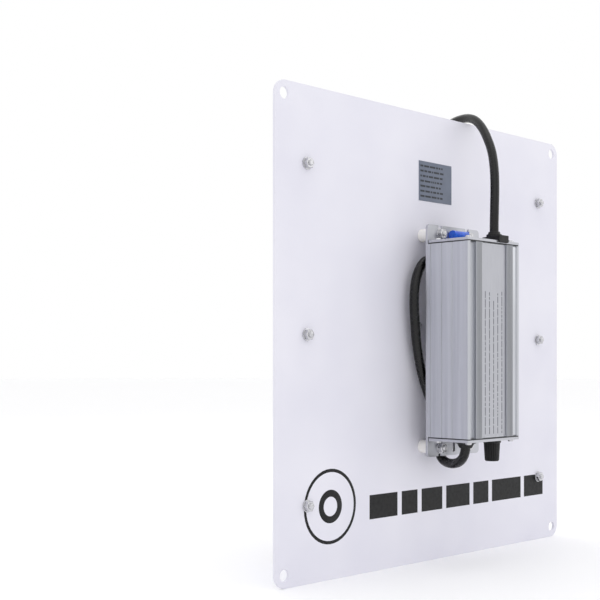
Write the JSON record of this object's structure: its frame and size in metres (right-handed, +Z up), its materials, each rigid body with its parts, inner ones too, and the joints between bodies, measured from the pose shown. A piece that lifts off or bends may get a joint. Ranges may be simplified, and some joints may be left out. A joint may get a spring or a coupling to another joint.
{
  "type": "led grow light",
  "caption": "Flat square LED grow light with a white back plate, a lit board of mixed white and red LEDs, a dimmable driver on spacers and a mains cord.",
  "frame": {"origin": "centre of the four corner hanging holes, on the back plate's rear face", "axes": "+Z up the plate, +X to the right when the driver side is seen, +Y the way the LEDs shine; the driver side faces -Y"},
  "size_m": [0.35, 0.1454, 0.3595],
  "materials": {
    "plate_coat": "satin white powder coat",
    "board_mask": "white solder mask",
    "cool_led": "lit phosphor in a white package",
    "warm_led": "lit phosphor in a white package",
    "red_led": "lit clear lens in a white package",
    "far_red_led": "clear lens that looks unlit",
    "stainless": "bright stainless steel",
    "terminal_block": "moulded nylon",
    "lead_jacket": "PVC insulation",
    "cover_plastic": "glossy moulded ABS",
    "gland_plastic": "moulded rubber",
    "cord_jacket": "satin PVC jacket",
    "nylon": "natural nylon",
    "blue_sleeve": "blue vinyl sleeve",
    "sheet_aluminium": "rolled sheet",
    "case_aluminium": "satin anodised extrusion",
    "gasket_rubber": "silicone sheet",
    "pcb": "solder mask",
    "ferrite": "ferrite",
    "winding_tape": "polyester tape",
    "capacitor_sleeve": "shrink sleeve",
    "copper_winding": "enamelled copper",
    "pot_body": "moulded",
    "knob_plastic": "fluted moulded plastic",
    "driver_label_film": "printed silver film",
    "rating_label_film": "printed grey film",
    "tie_fabric": "hook and loop strap",
    "nickel_brass": "plated brass"
  },
  "bodies": {
    "root": {"back_plate": "plate_coat", "led_board": "board_mask", "cool_white_leds": "cool_led", "warm_white_leds": "warm_led", "deep_red_leds": "red_led", "far_red_leds": "far_red_led", "board_screws": "stainless", "board_washers": "stainless", "board_nuts": "stainless", "terminal_blocks": "terminal_block", "terminal_leads": "lead_jacket", "terminal_cover": "cover_plastic", "cover_screws": "stainless", "cover_nuts": "stainless", "cable_grommet": "gland_plastic", "output_cable": "cord_jacket", "nylon_spacers": "nylon", "driver_bolts": "stainless", "driver_washers": "stainless", "driver_nuts": "stainless", "earth_terminal": "blue_sleeve", "mounting_plate": "sheet_aluminium", "driver_base": "case_aluminium", "driver_lid": "case_aluminium", "top_end_cap": "case_aluminium", "bottom_end_cap": "case_aluminium", "top_gasket": "gasket_rubber", "bottom_gasket": "gasket_rubber", "end_cap_screws": "stainless", "circuit_board": "pcb", "transformer_core": "ferrite", "transformer_winding": "winding_tape", "capacitors": "capacitor_sleeve", "choke": "copper_winding", "input_leads": "lead_jacket", "potentiometer": "pot_body", "dimmer_nut": "stainless", "mains_gland": "gland_plastic", "mains_gland_nut": "gland_plastic", "output_gland": "gland_plastic", "driver_label": "driver_label_film", "rating_label": "rating_label_film", "mains_cord": "cord_jacket", "mains_hank": "cord_jacket", "plug_lead": "cord_jacket", "cord_tie": "tie_fabric", "plug_body": "cord_jacket", "plug_blades": "nickel_brass", "plug_earth_pin": "nickel_brass"},
    "knob": {"dimmer_shaft": "stainless", "dimmer_knob": "knob_plastic"}
  },
  "joints": [
    {"name": "dimmer_turn", "type": "hinge", "parent": "root", "child": "knob", "pos_m": [0.016, -0.0428, -0.0796], "axis": [0, 0, -1], "range_deg": [0, 300]}
  ]
}
